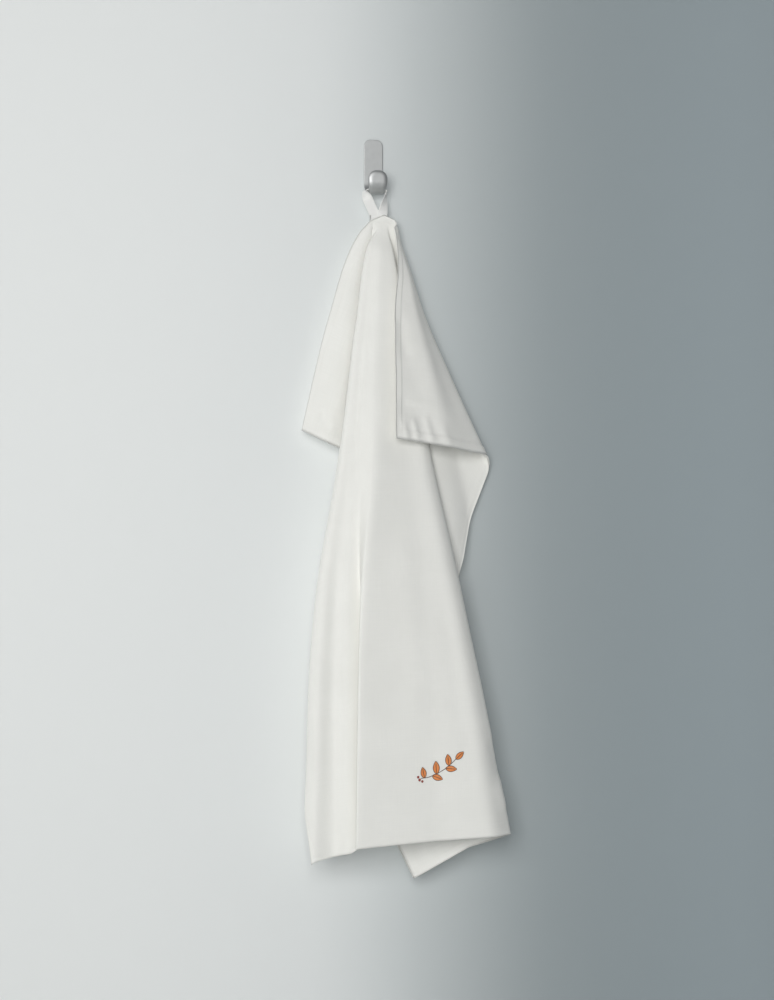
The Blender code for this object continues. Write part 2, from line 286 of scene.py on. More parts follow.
# A row for each fold: its name, the angle in degrees at which it runs in the flat cloth
# (0 is straight down the middle, -90 and 90 are the two halves of the top hem), how far to
# the side and how far forward it lies, in mm, at each station, and how far its lower end
# is drawn up, in mm, or let down where the bias has stretched
FOLDS = (
    ("left free edge", -90.0, (0, -28.2, -62, -99), (0, -2.0, -3, 0), -16),
    ("left flap ridge", -80.5, (0, -21.0, -44, -69), (0, 1.5, 6, 11), -14),
    ("left tuck at the back", -66.0, (0, -7.0, -5, -2), (0, -5.0, -7, -9), 0),
    ("left tuck turning back", -57.0, (0, -12.5, -27, -44), (0, -2.8, 0, 4), 0),
    ("left tuck behind the front", -41.5, (0, -5.0, 3, 14, 24), (0, -1.0, 6, 16, 22), 0),
    ("left outer fold", -22.6, (0, -18.6, -37, -58, -86, -101), (0, 3.4, 12, 25, 32, 40), 22),
    ("left column", -19.8, (0, -15.8, -32, -52, -76, -88), (0, 6.0, 18, 35, 44, 52), 25),
    ("valley of the column", -17.6, (0, -14.4, -30, -47, -62, -66), (0, 6.4, 18, 34, 38, 44), 22),
    ("inner ridge of the column", -15.0, (0, -12.3, -26, -41, -51, -48), (0, 6.9, 19, 37, 46, 54), 18),
    ("tuck in the front", -11.5, (0, -9.7, -22, -34, -33, 12), (0, 7.5, 20, 39, 40, 34), 40),
    ("edge of the front panel", -4.6, (0, -5.0, -13, -21, -39, -50), (0, 9.0, 25, 48, 60, 70), 2),
    ("middle of the front panel", 4.0, (0, 2.5, 8, 20, 33, 50), (0, 7.8, 21, 35, 46, 60), 9),
    ("side of the front panel", 9.2, (0, 7.0, 20, 42, 73, 118), (0, 6.2, 17.5, 31, 44, 60), 12),
    ("right outer fold", 11.5, (0, 8.6, 25, 52, 89, 146), (0, 5.0, 13, 19, 26, 36), 14),
    ("back of the right fold", 15.5, (0, 6.4, 17, 38, 64, 92), (0, 2.5, 8, 15, 22, 30), 20),
    ("right corner at the back", 20.4, (0, 4.4, 9, 20, 33, 31), (0, 0.1, 4, 8, 12, 14), 9),
    ("right tuck at the back", 26.0, (0, 2.1, 0, 0, -8, -70), (0, -2.6, 0, 1, 0, -5), 6),
    ("valley behind the flap", 37.0, (0, 9.0, 24, 50, 84), (0, -3.4, -1, 6, 3), 0),
    ("right valley at the back", 47.0, (0, 13.5, 37, 82, 118), (0, -3.2, -5, -7, -11), 0),
    ("back of the flap's fold", 57.5, (0, 17.8, 48, 112), (0, -1.0, -1, -8), 0),
    ("front of the flap's fold", 63.0, (0, 18.0, 49, 113), (0, 1.2, 3, 4), -4),
    ("middle of the right flap", 72.5, (0, 15.6, 36, 73), (0, 4.8, 19, 34), -8),
    ("right free edge", 90.0, (0, 11.8, 5, 0), (0, 8.0, 29, 57), -20),
)
# Share of its full width to which the flat cloth spreads at the hang point
FLAT_SPREAD = 0.92
# Distances in mm between which the cloth goes from flat to folded, straight down the middle
# and along the top hem, and the angles in degrees between which one becomes the other
MIDDLE_FOLDS = (3.0, 46.0)
HEM_FOLDS = (12.5, 27.0)
HEM_FOLDS_BETWEEN = (50.0, 85.0)
# How far to each side a fold is rounded, in mm, the most that this may be as an angle, and
# the weights of the places that are averaged
FOLD_ROUNDING = 11.0
FOLD_ROUNDING_MOST = math.radians(3.2)
ROUNDING_WEIGHTS = np.array((1, 2, 3, 4, 4, 4, 3, 2, 1))
# Angles and distances in mm at which the drape is worked out
TABLE_ANGLES = np.radians(np.linspace(-90.0, 90.0, 1441))
TABLE_REACH = np.linspace(0.0, 752.0, 471)

# Soft ridges and troughs of worn cloth. A row for each: its name, its line on the flat cloth
# as points in mm across from the middle and down from the top, half its width in mm, and
# its height in mm, which is negative for a trough
CREASES = (
    ("crest of the top hem", ((-22, 5), (-8, 4), (4, 4), (18, 5)), 2.2, -0.8),
    ("crushed ridge on the flap", ((90, 18), (150, 40), (196, 56), (244, 66)), 15, -0.9),
    ("crushed trough on the flap", ((118, 44), (166, 66), (214, 90), (252, 110)), 13, 0.5),
    ("upper dent on the flap", ((120, 10), (150, 12), (176, 22)), 9, 1.6),
    ("pressed line on the flap", ((217, 10), (216, 34), (213, 60)), 2.2, -0.7),
    ("patch below the pressed line", ((218, 2), (229, 30), (242, 66)), 11, 1.5),
    ("first ripple at the flap's hem", ((262, 18), (238, 12)), 4.5, -1.2),
    ("second ripple at the flap's hem", ((262, 34), (234, 26)), 4.5, -1.4),
    ("third ripple at the flap's hem", ((262, 54), (228, 44)), 5.5, -1.6),
    ("fourth ripple at the flap's hem", ((262, 78), (234, 66)), 6.0, -1.4),
    ("ridge beside the front panel", ((118, 140), (180, 214), (236, 282), (262, 340)), 44, 7.5),
    ("dent in the left flap", ((-150, 60), (-205, 74)), 9, -1.6),
    ("left flap's slack line", ((-118, 28), (-176, 40), (-232, 48)), 7, 1.4),
    ("slack above the left hem", ((-236, 20), (-246, 44)), 8, -1.5),
    ("long line in the column", ((-40, 150), (-62, 240), (-80, 320)), 6, -1.2),
    ("soft line in the front panel", ((10, 330), (22, 470), (34, 600)), 16, 1.3),
    ("soft trough in the front panel", ((52, 400), (74, 540), (92, 640)), 14, -1.4),
    ("dent by the right fold", ((112, 590), (128, 640)), 8, -1.6),
    ("bump by the right fold", ((118, 640), (132, 676)), 7, 1.6),
    ("pressed line low on the panel", ((40, 664), (110, 660)), 2.5, 0.5),
)
# Share of a crease's length in which it fades out at each end
CREASE_ENDS = 0.25

# Crumpling of washed linen: waves per metre across and down, height in mm, and how much
# stronger it is on the flap, which was crushed by hand
CRUMPLES = (
    (9.0, 4.0, 1.10, 1.0),
    (24.0, 11.0, 0.40, 2.2),
    (34.0, 30.0, 0.12, 6.0),
    (70.0, 55.0, 0.05, 3.0),
)
# Angles in degrees between which the flap begins, distances in mm from the hang point
# between which crumples begin, and how far apart their patterns are taken
FLAP_BETWEEN = (62.0, 70.0)
CRUMPLES_BETWEEN = (8.0, 60.0)
CRUMPLE_APART = 7.3


def smooth_through(values, places):
    """A smooth curve through a fold's values, straight on past its last one."""
    known = np.array(STATIONS[:len(values)], dtype=float)
    values = np.array(values, dtype=float)
    spans = np.diff(known)
    slopes = np.diff(values) / spans
    tangents = np.concatenate((slopes[:1], (slopes[1:] + slopes[:-1]) / 2, slopes[-1:]))
    part = np.clip(np.searchsorted(known, places, side="right") - 1, 0, len(slopes) - 1)
    t = (places - known[part]) / spans[part]
    curve = (values[part] * (1 + 2 * t) * (1 - t) ** 2
             + values[part + 1] * t * t * (3 - 2 * t)
             + tangents[part] * spans[part] * t * (1 - t) ** 2
             - tangents[part + 1] * spans[part] * t * t * (1 - t))
    beyond = values[-1] + slopes[-1] * (places - known[-1])
    return np.where(places >= known[-1], beyond, curve)


def drape_table():
    """Where the cloth hangs, in mm from the hang point, for each angle and distance."""
    _, angles, side_places, forward_places, drawn = zip(*FOLDS)
    fold_angles = np.radians(angles)
    sides = np.stack([smooth_through(values, TABLE_REACH) for values in side_places])
    forwards = np.stack([smooth_through(values, TABLE_REACH) for values in forward_places])
    drawn_up = np.interp(TABLE_ANGLES, fold_angles, np.array(drawn) / STATIONS[-1])
    by_hem = smooth_step(np.degrees(np.abs(TABLE_ANGLES)), *HEM_FOLDS_BETWEEN)
    flat_until = MIDDLE_FOLDS[0] + (HEM_FOLDS[0] - MIDDLE_FOLDS[0]) * by_hem
    folded_from = MIDDLE_FOLDS[1] + (HEM_FOLDS[1] - MIDDLE_FOLDS[1]) * by_hem
    table = np.zeros((len(TABLE_REACH), len(TABLE_ANGLES), 3))
    for i, distance in enumerate(TABLE_REACH[1:], start=1):
        window = min(FOLD_ROUNDING_MOST, FOLD_ROUNDING / distance)
        offsets = np.linspace(-window, window, len(ROUNDING_WEIGHTS))
        near = np.clip(TABLE_ANGLES + offsets[:, None], fold_angles[0], fold_angles[-1])
        side, ahead = (np.average(np.interp(near, fold_angles, places[:, i]), axis=0,
                                  weights=ROUNDING_WEIGHTS) for places in (sides, forwards))
        share = smooth_step(distance, flat_until, folded_from)
        flat_side = FLAT_SPREAD * distance * np.sin(TABLE_ANGLES)
        table[i, :, 0] = (1 - share) * flat_side + share * side
        table[i, :, 1] = -share * ahead
        step = distance - TABLE_REACH[i - 1]
        sideways = np.hypot(*(table[i, :, :2] - table[i - 1, :, :2]).T)
        drop = np.sqrt(np.maximum(step ** 2 - sideways ** 2, 0.0)) * (1 - drawn_up)
        table[i, :, 2] = table[i - 1, :, 2] - drop
    return table


def blended(grid, i, j):
    """What a grid of places says between its entries."""
    low_i = np.clip(i.astype(int), 0, grid.shape[0] - 2)
    low_j = np.clip(j.astype(int), 0, grid.shape[1] - 2)
    a = (i - low_i)[..., None]
    b = (j - low_j)[..., None]
    upper = grid[low_i, low_j] * (1 - b) + grid[low_i, low_j + 1] * b
    lower = grid[low_i + 1, low_j] * (1 - b) + grid[low_i + 1, low_j + 1] * b
    return upper * (1 - a) + lower * a


def cloth_lines(end, fine_until, fine_pitch, start=0.0):
    """Places of the mesh lines in mm, closer together near the loop and at the hems."""
    inner = end - HEM_MM - STEP_MM
    fine_lines = np.linspace(start, fine_until, 1 + round((fine_until - start) / fine_pitch))
    plain_lines = np.linspace(fine_until, inner, 1 + round((inner - fine_until) / PLAIN_PITCH))
    hem_lines = end - HEM_MM * np.array(HEM_LINES)
    return np.concatenate((fine_lines, plain_lines[1:], hem_lines))


def crease_height(across, down):
    """How far the ridges and troughs lift the cloth, in mm."""
    total = np.zeros_like(across)
    for _, points, width, height in CREASES:
        nearest = np.full(across.shape, np.inf)
        progress = np.zeros_like(across)
        count = len(points) - 1
        for k in range(count):
            start = np.array(points[k], dtype=float)
            along = np.array(points[k + 1], dtype=float) - start
            t = ((across - start[0]) * along[0] + (down - start[1]) * along[1]) / along.dot(along)
            t = np.clip(t, 0.0, 1.0)
            away = np.hypot(across - start[0] - t * along[0], down - start[1] - t * along[1])
            closer = away < nearest
            nearest = np.where(closer, away, nearest)
            progress = np.where(closer, (k + t) / count, progress)
        ends = smooth_step(progress, 0.0, CREASE_ENDS) * smooth_step(1 - progress, 0.0, CREASE_ENDS)
        total += height * ends * np.exp(-(nearest / width) ** 2)
    return total


def crumple_height(across, down):
    """Gentle unevenness of washed cloth, in mm."""
    total = np.zeros_like(across)
    on_flap = smooth_step(np.degrees(np.arctan2(across, down)), *FLAP_BETWEEN)
    for k, (waves_across, waves_down, height, on_flap_times) in enumerate(CRUMPLES):
        scale = np.stack((across * waves_across, down * waves_down), axis=-1) / 1000
        flat = scale.reshape(-1, 2)
        values = [noise.noise(Vector((x, y, CRUMPLE_APART * k))) for x, y in flat]
        strength = height * (1 + (on_flap_times - 1) * on_flap)
        total += strength * np.array(values).reshape(across.shape)
    return total


def grid_normals(grid):
    """Directions square to the cloth that point out of its front."""
    normals = np.cross(np.gradient(grid, axis=1), np.gradient(grid, axis=0))
    return normals / np.maximum(np.linalg.norm(normals, axis=2, keepdims=True), TINY)


def sheet_places():
    """Mesh lines of the flat cloth, its front and back as it hangs, and the way out of it."""
    right = cloth_lines(HALF_WIDTH_MM, FINE_UNTIL[0], FINE_PITCH[0])
    across_lines = np.concatenate((-right[:0:-1], right))
    top = np.array(TOP_HEM_LINES) * HEM_MM
    below = cloth_lines(LENGTH_MM, FINE_UNTIL[1], FINE_PITCH[1], HEM_MM + STEP_MM)
    down_lines = np.concatenate((top, below))
    across, down = np.meshgrid(across_lines, down_lines, indexing="ij")
    entry_i = np.hypot(across, down) / (TABLE_REACH[1] - TABLE_REACH[0])
    entry_j = (np.arctan2(across, down) - TABLE_ANGLES[0]) / (TABLE_ANGLES[1] - TABLE_ANGLES[0])
    middle = blended(drape_table(), entry_i, entry_j) / 1000 + HANG_POINT
    out = grid_normals(middle)
    lift = crumple_height(across, down) * smooth_step(np.hypot(across, down), *CRUMPLES_BETWEEN)
    lift += crease_height(across, down)
    middle = middle + out * lift[..., None] / 1000
    out = grid_normals(middle)
    from_side = HALF_WIDTH_MM - np.abs(across)
    from_end = np.minimum(down, LENGTH_MM - down)
    in_side_hem = (from_side <= HEM_MM + LINE_TOLERANCE).astype(float)
    in_end_hem = (from_end <= HEM_MM + LINE_TOLERANCE).astype(float)
    layers = np.maximum(in_side_hem, in_end_hem) + CORNER_EXTRA * in_side_hem * in_end_hem
    front = middle + out * (CLOTH_THICKNESS / 2 + HEM_EXTRA_FRONT * layers)[..., None]
    back = middle - out * (CLOTH_THICKNESS / 2 + HEM_EXTRA_BACK * layers)[..., None]
    return across_lines, down_lines, front, back, out


lines_across, lines_down, cloth_front, cloth_back, cloth_out = sheet_places()


def build_towel():
    """Front and back sheet, joined all round by a full, rounded edge."""
    columns, rows = cloth_front.shape[:2]
    count = columns * rows
    index = np.arange(count).reshape(columns, rows)
    corners = (index[:-1, :-1], index[:-1, 1:], index[1:, 1:], index[1:, :-1])
    face = np.stack(corners, axis=-1).reshape(-1, 4)
    rim = np.concatenate((index[0, :], index[1:, -1], index[-1, -2::-1], index[-2:0:-1, 0]))
    front = cloth_front.reshape(-1, 3)
    back = cloth_back.reshape(-1, 3)
    middle = (front + back) / 2
    inner = np.concatenate((index[1, :], index[1:, -2], index[-2, -2::-1], index[-2:0:-1, 1]))
    outward = middle[rim] - middle[inner]
    outward /= np.maximum(np.linalg.norm(outward, axis=1, keepdims=True), TINY)
    edge = middle[rim] + outward * EDGE_BULGE
    places = np.concatenate((front, back, edge))
    edge_index = 2 * count + np.arange(len(rim))
    following = np.roll(np.arange(len(rim)), -1)
    rims = [np.stack((one, two, two[following], one[following]), axis=1)[:, ::-1]
            for one, two in ((rim, edge_index), (edge_index, rim + count))]
    faces = np.concatenate((face, (face + count)[:, ::-1], *rims))
    data = bpy.data.meshes.new("linen_towel")
    data.from_pydata(places.tolist(), [], faces.tolist())
    flat = np.stack(np.meshgrid(lines_across, lines_down, indexing="ij"), axis=-1)
    flat = flat.reshape(-1, 2) / 1000
    flat = np.concatenate((flat, flat, flat[rim]))
    weave_map = data.uv_layers.new(name="weave")
    loops = np.zeros(len(data.loops), dtype=np.int32)
    data.loops.foreach_get("vertex_index", loops)
    weave_map.data.foreach_set("uv", flat[loops].astype(np.float32).ravel())
    data.validate()
    data.shade_smooth()
    return link(bpy.data.objects.new("linen_towel", data))


def crossed_waves(tree, flat, half_waves):
    """Waves across and down the flat cloth, one for each set of its threads."""
    split = node(tree, "ShaderNodeSeparateXYZ", [("Vector", flat.outputs["UV"])])
    turns = [math_node(tree, "MULTIPLY", split.outputs[axis], math.pi / half_wave)
             for axis, half_wave in zip("XY", half_waves)]
    return [math_node(tree, "SINE", turn) for turn in turns]


def washed_linen():
    """Plain weave on the flat cloth's own lines, with slubs in both sets of threads."""
    finish, tree, shader = new_material("Washed linen")
    shader.inputs["Roughness"].default_value = 0.92
    shader.inputs["Specular IOR Level"].default_value = 0.25
    shader.inputs["Sheen Weight"].default_value = 0.22
    shader.inputs["Sheen Roughness"].default_value = 0.6
    flat = node(tree, "ShaderNodeUVMap", uv_map="weave")
    over = math_node(tree, "MULTIPLY", *crossed_waves(tree, flat, (THREAD_PITCH, THREAD_PITCH)))
    slubs = []
    for scale in SLUB_SCALES:
        stretched = node(tree, "ShaderNodeMapping", [("Vector", flat.outputs["UV"])], Scale=scale)
        uneven = node(tree, "ShaderNodeTexNoise", [("Vector", stretched.outputs[0])],
                      Scale=1.0, Detail=2.0, Roughness=0.5)
        slubs.append(uneven.outputs["Fac"])
    slub = math_node(tree, "ADD", *slubs)
    height = math_node(tree, "MULTIPLY_ADD", over, WEAVE_SHARE, slub)
    add_relief(tree, shader, height, strength=0.32, distance=0.00012)
    cloud = node(tree, "ShaderNodeTexNoise", [("Vector", flat.outputs["UV"])],
                 Scale=16.0, Detail=3.0, Roughness=0.55)
    tone = math_node(tree, "MULTIPLY", cloud.outputs["Fac"], slub)
    spread = node(tree, "ShaderNodeMapRange", [("Value", tone)], From_Min=0.25, From_Max=0.75)
    mix_colours(tree, shader, spread.outputs["Result"], LINEN_SHADE, LINEN_LIGHT)
    return finish


towel = build_towel()
towel.data.materials.append(washed_linen())
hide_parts("towel")
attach(towel, "root")


# The hem stitching
# White sewing thread, one lock-stitched row 1.4 mm inside each hem's inner fold, which shows
# as short, slightly sunk stitches on both faces of the towel.
STITCH_PITCH = 0.0028
STITCH_LENGTH = 0.0021
STITCH_RADIUS = 0.00017
# How far a stitch's middle stands out of the cloth, as a share of its radius
STITCH_RISE = 0.2
# How far the row lies from the towel's edge, and the step at which it follows it, in mm
SEAM_FROM_EDGE = 8.6
SEAM_SAMPLE = 1.0
STITCH_SIDES = 6
STITCH_RINGS = 4
THREAD_WHITE = (0.88, 0.87, 0.83, 1.0)
THREAD_DARKER = 0.86
THREAD_LIGHTER = 1.10


def on_cloth(face, across, down):
    """Points of one face of the finished towel, and the way out of its front there."""
    i = np.interp(across, lines_across, np.arange(len(lines_across)))
    j = np.interp(down, lines_down, np.arange(len(lines_down)))
    return blended(face, i, j), blended(cloth_out, i, j)


def start_tree(name, sockets):
    """A node tree with named inputs, that first turns its mesh's edges into curves."""
    tree = bpy.data.node_groups.new(name, "GeometryNodeTree")
    tree.interface.new_socket("Geometry", in_out="INPUT", socket_type="NodeSocketGeometry")
    inputs = {}
    for label, kind, default in (*sockets, ("Thread", "Material", None)):
        socket = tree.interface.new_socket(label, in_out="INPUT", socket_type="NodeSocket" + kind)
        if default is not None:
            socket.default_value = default
        inputs[label] = socket.identifier
    tree.interface.new_socket("Geometry", in_out="OUTPUT", socket_type="NodeSocketGeometry")
    given = tree.nodes.new("NodeGroupInput")
    line = node(tree, "GeometryNodeMeshToCurve", [("Mesh", given.outputs["Geometry"])])
    return tree, inputs, given, line


def finish_tree(tree, given, thread):
    """Make the threads real, smooth and of the given material."""
    real = node(tree, "GeometryNodeRealizeInstances", [("Geometry", thread)])
    smooth = node(tree, "GeometryNodeSetShadeSmooth", [("Geometry", real.outputs["Geometry"])])
    done = node(tree, "GeometryNodeSetMaterial", [
        ("Geometry", smooth.outputs["Geometry"]), ("Material", given.outputs["Thread"])])
    result = tree.nodes.new("NodeGroupOutput")
    tree.links.new(done.outputs["Geometry"], result.inputs["Geometry"])


def running_stitches():
    """Node tree: small rounded stitches, evenly spaced along every line of a mesh."""
    tree, inputs, given, line = start_tree("Running stitches", (
        ("Stitch Pitch", "Float", STITCH_PITCH),
        ("Stitch Length", "Float", STITCH_LENGTH),
        ("Thread Radius", "Float", STITCH_RADIUS),
    ))
    spaced = node(tree, "GeometryNodeResampleCurve", [
        ("Curve", line.outputs["Curve"]), ("Length", given.outputs["Stitch Pitch"])],
        mode="LENGTH")
    tangent = node(tree, "GeometryNodeInputTangent")
    turned = node(tree, "FunctionNodeAlignRotationToVector", [("Vector", tangent.outputs[0])],
                  axis="Z")
    ball = node(tree, "GeometryNodeMeshUVSphere", Segments=STITCH_SIDES, Rings=STITCH_RINGS,
                Radius=1.0)
    radius = given.outputs["Thread Radius"]
    half = math_node(tree, "MULTIPLY", given.outputs["Stitch Length"], 0.5)
    size = node(tree, "ShaderNodeCombineXYZ", [("X", radius), ("Y", radius), ("Z", half)])
    placed = node(tree, "GeometryNodeInstanceOnPoints", [
        ("Points", spaced.outputs["Curve"]), ("Instance", ball.outputs["Mesh"]),
        ("Rotation", turned.outputs["Rotation"]), ("Scale", size.outputs[0])])
    finish_tree(tree, given, placed.outputs["Instances"])
    return tree, inputs


def made_by(maker, name, lines, **values):
    """A plain mesh made by a node tree from edges, one chain for each line of points."""
    places = []
    edges = []
    for line in lines:
        first = len(places)
        places += [tuple(point) for point in line]
        edges += [(k, k + 1) for k in range(first, len(places) - 1)]
    data = bpy.data.meshes.new(name)
    data.from_pydata(places, edges, [])
    item = link(bpy.data.objects.new(name, data))
    tree, inputs = maker
    modifier = item.modifiers.new(tree.name, "NODES")
    modifier.node_group = tree
    for label, value in values.items():
        modifier[inputs[label.replace("_", " ")]] = value
    bpy.context.view_layer.update()
    ready = item.evaluated_get(bpy.context.evaluated_depsgraph_get())
    made = bpy.data.meshes.new_from_object(ready)
    item.modifiers.clear()
    item.data = made
    return item


def twisted_thread(name, colour, roughness):
    """Spun thread: fine uneven colour and a soft sheen."""
    finish, tree, shader = new_material(name)
    shader.inputs["Roughness"].default_value = roughness
    shader.inputs["Sheen Weight"].default_value = 0.2
    place = node(tree, "ShaderNodeTexCoord")
    spun = node(tree, "ShaderNodeTexNoise", [("Vector", place.outputs["Object"])],
                Scale=2600.0, Detail=1.0)
    mix_colours(tree, shader, spun.outputs["Fac"], shaded(colour, THREAD_DARKER),
                shaded(colour, THREAD_LIGHTER))
    add_relief(tree, shader, spun.outputs["Fac"], strength=0.4, distance=0.00008)
    return finish


def seam_lines():
    """The stitched lines of the four hems, on the front and on the back."""
    side = HALF_WIDTH_MM - SEAM_FROM_EDGE
    end = LENGTH_MM - SEAM_FROM_EDGE
    corners = ((-side, SEAM_FROM_EDGE), (side, SEAM_FROM_EDGE), (side, end), (-side, end))
    lines = []
    for start, finish in zip(corners, corners[1:] + corners[:1]):
        count = int(math.dist(start, finish) / SEAM_SAMPLE)
        share = np.linspace(0, 1, count)
        across = start[0] + (finish[0] - start[0]) * share
        down = start[1] + (finish[1] - start[1]) * share
        for face, sign in ((cloth_front, 1), (cloth_back, -1)):
            place, out = on_cloth(face, across, down)
            lines.append(place + out * sign * STITCH_RADIUS * STITCH_RISE)
    return lines


stitching = running_stitches()
sewing_thread = twisted_thread("White sewing thread", THREAD_WHITE, 0.75)
hem_stitches = made_by(stitching, "hem_stitches", seam_lines(), Stitch_Pitch=STITCH_PITCH,
                       Stitch_Length=STITCH_LENGTH, Thread_Radius=STITCH_RADIUS,
                       Thread=sewing_thread)
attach(hem_stitches, "root")


# The embroidered sprig
# A small sprig of leaves in stranded cotton near the bottom hem, satin-stitched in
# orange-brown, each leaf with a vein, edged and stemmed in a darker thread.
SPRIG_TURN = math.radians(6.0)
# The sprig's middle in mm, across from the middle of the towel and down from its top
SPRIG_ACROSS = 51.5
SPRIG_DOWN = 620.0
FILL_RADIUS = 0.00027
EDGE_RADIUS = 0.00036
# How high the threads lie on the cloth, and how much higher a filling thread's middle is
FILL_HEIGHT = 0.00012
EDGE_HEIGHT = 0.00030
FILL_RISE = 0.00030
# Spacing of the filling threads in leaves and berries, in mm
FILL_PITCH = 0.44
BERRY_PITCH = 0.8 * FILL_PITCH
# Along a leaf, as shares of its length: where the filling begins and ends, how far ahead a
# thread's outer end lies and how far out it may, and where the vein ends
FILL_FROM = 0.03
FILL_TO = 0.97
FILL_SLANT = 0.10
FILL_TIP = 0.99
VEIN_END = 0.86
# Powers that shape a leaf: below 1, the first brings its widest place nearer its foot, and
# the second makes it fuller
LEAF_WIDEST = 0.85
LEAF_FULLNESS = 0.8
LEAF_POINTS = 26
STEM_POINTS = 40
STEM_SMOOTHINGS = 6
ORANGE_BROWN = (0.80, 0.285, 0.085, 1.0)
DARK_BROWN = (0.10, 0.050, 0.028, 1.0)
BERRY_RED = (0.32, 0.070, 0.055, 1.0)
THREAD_SIDES = 6

# The stem as points in mm from the sprig's middle, to the right and up
STEM = ((-24.0, -7.5), (-15.0, -8.2), (-5.0, -6.2), (5.0, -2.2), (13.0, 2.8), (18.0, 6.5))
# A row for each leaf: its place along the stem as a share, the angle in degrees at which
# it grows from the page's right, its length and its width in mm
LEAVES = (
    (0.10, 96.0, 12.0, 6.4),
    (0.30, -28.0, 12.5, 6.4),
    (0.40, 88.0, 14.0, 7.2),
    (0.62, -14.0, 12.5, 6.4),
    (0.72, 92.0, 12.5, 6.6),
    (1.00, 34.0, 11.5, 6.2),
)
# A row for each berry: its middle, to the right and up, in mm, and its radius in mm
BERRIES = ((-25.6, -9.0, 1.5), (-27.0, -5.6, 1.4), (-22.6, -11.2, 1.3))


def stem_place(share):
    """A smooth line through the stem's points."""
    points = np.array(STEM, dtype=float)
    known = np.linspace(0, 1, len(points))
    fine = np.linspace(0, 1, STEM_POINTS)
    waved = np.stack([np.interp(fine, known, points[:, k]) for k in range(2)], axis=1)
    for _ in range(STEM_SMOOTHINGS):
        waved[1:-1] = (waved[:-2] + 2 * waved[1:-1] + waved[2:]) / 4
    return np.stack([np.interp(share, fine, waved[:, k]) for k in range(2)], axis=-1)


def leaf_half_width(share, width):
    """Half width along a pointed leaf, widest a little before its middle."""
    return width / 2 * np.sin(np.pi * np.clip(share, 0, 1) ** LEAF_WIDEST) ** LEAF_FULLNESS


def sprig_lines():
    """Lines in mm on the cloth: those of the filling, of the dark edging, of the berries."""
    filling = []
    edging = [stem_place(np.linspace(0, 1, STEM_POINTS))]
    for along, angle, length, width in LEAVES:
        root = stem_place(along)
        ahead = np.array((math.cos(math.radians(angle)), math.sin(math.radians(angle))))
        aside = np.array((-ahead[1], ahead[0]))
        share = np.linspace(0, 1, LEAF_POINTS)
        half = leaf_half_width(share, width)
        spine = root + np.outer(share * length, ahead)
        edging.append(spine + np.outer(half, aside))
        edging.append(spine - np.outer(half, aside))
        edging.append(spine[:int(LEAF_POINTS * VEIN_END)])
        for start in np.arange(FILL_FROM, FILL_TO - FILL_SLANT / 2, FILL_PITCH / length):
            tip = min(start + FILL_SLANT, FILL_TIP)
            reach = leaf_half_width(tip, width)
            for side in (1, -1):
                inner = root + ahead * start * length
                outer = root + ahead * tip * length + aside * reach * side
                middle = inner + (outer - inner) * 0.5
                filling.append(np.array((inner, middle, outer)))
    berries = []
    for right, up, radius in BERRIES:
        for height in np.arange(-radius, radius, BERRY_PITCH):
            half = math.sqrt(max(radius ** 2 - height ** 2, 0.0))
            berries.append(np.array([(right + x, up + height) for x in (-half, 0, half)]))
    return filling, edging, berries


def sewn_on(lines, rise, arched):
    """Lay lines given in the sprig's own mm on the front of the towel."""
    placed = []
    for line in lines:
        line = np.atleast_2d(line)
        turned_right = line[:, 0] * math.cos(SPRIG_TURN) - line[:, 1] * math.sin(SPRIG_TURN)
        turned_up = line[:, 0] * math.sin(SPRIG_TURN) + line[:, 1] * math.cos(SPRIG_TURN)
        place, out = on_cloth(cloth_front, SPRIG_ACROSS + turned_right, SPRIG_DOWN - turned_up)
        height = np.full(len(line), rise)
        if arched:
            height += FILL_RISE * np.sin(np.linspace(0, math.pi, len(line)))
        placed.append(place + out * height[:, None])
    return placed


def laid_thread():
    """Node tree: a round thread along every line of a mesh."""
    tree, inputs, given, line = start_tree("Laid thread", (
        ("Thread Radius", "Float", FILL_RADIUS),
        ("Thread Sides", "Int", THREAD_SIDES),
    ))
    ring = node(tree, "GeometryNodeCurvePrimitiveCircle", [
        ("Radius", given.outputs["Thread Radius"]), ("Resolution", given.outputs["Thread Sides"])])
    tube = node(tree, "GeometryNodeCurveToMesh", [
        ("Curve", line.outputs["Curve"]), ("Profile Curve", ring.outputs["Curve"])])
    tube.inputs["Fill Caps"].default_value = True
    finish_tree(tree, given, tube.outputs["Mesh"])
    return tree, inputs


embroidery = laid_thread()
filling, edging, berries = sprig_lines()
# name, lines, height above the cloth, arched, thread radius, colour
for name, lines, rise, arched, radius, colour in (
    ("sprig_filling", filling, FILL_HEIGHT, True, FILL_RADIUS, ORANGE_BROWN),
    ("sprig_berries", berries, FILL_HEIGHT, True, FILL_RADIUS, BERRY_RED),
    ("sprig_edging", edging, EDGE_HEIGHT, False, EDGE_RADIUS, DARK_BROWN),
):
    cotton = twisted_thread(name + " thread", colour, 0.5)
    piece = made_by(embroidery, name, sewn_on(lines, rise, arched), Thread_Radius=radius,
                    Thread_Sides=THREAD_SIDES, Thread=cotton)
    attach(piece, "root")


# The hanging loop
# One length of woven cotton tape 11.5 mm wide. It lies curled in the bend of the hook,
# turns flat on its way down, and both its ends are sewn to the back of the top hem.
TAPE_WIDTH = 0.0115
TAPE_THICKNESS = 0.0009
LOOP_GAP = 0.0003
LOOP_BEND = 0.0026
LOOP_FORWARD = 0.0010
FOOT_SEWN = 0.0100
AT_BACK_BY = 0.80
STRAND_STEPS = 22
TURN_STEPS = 10
CROSS_POINTS = 16
# Powers that shape the band's section: low ones make it flat and its edges full
BAND_FLATNESS = 0.35
BAND_FULLNESS = 0.6
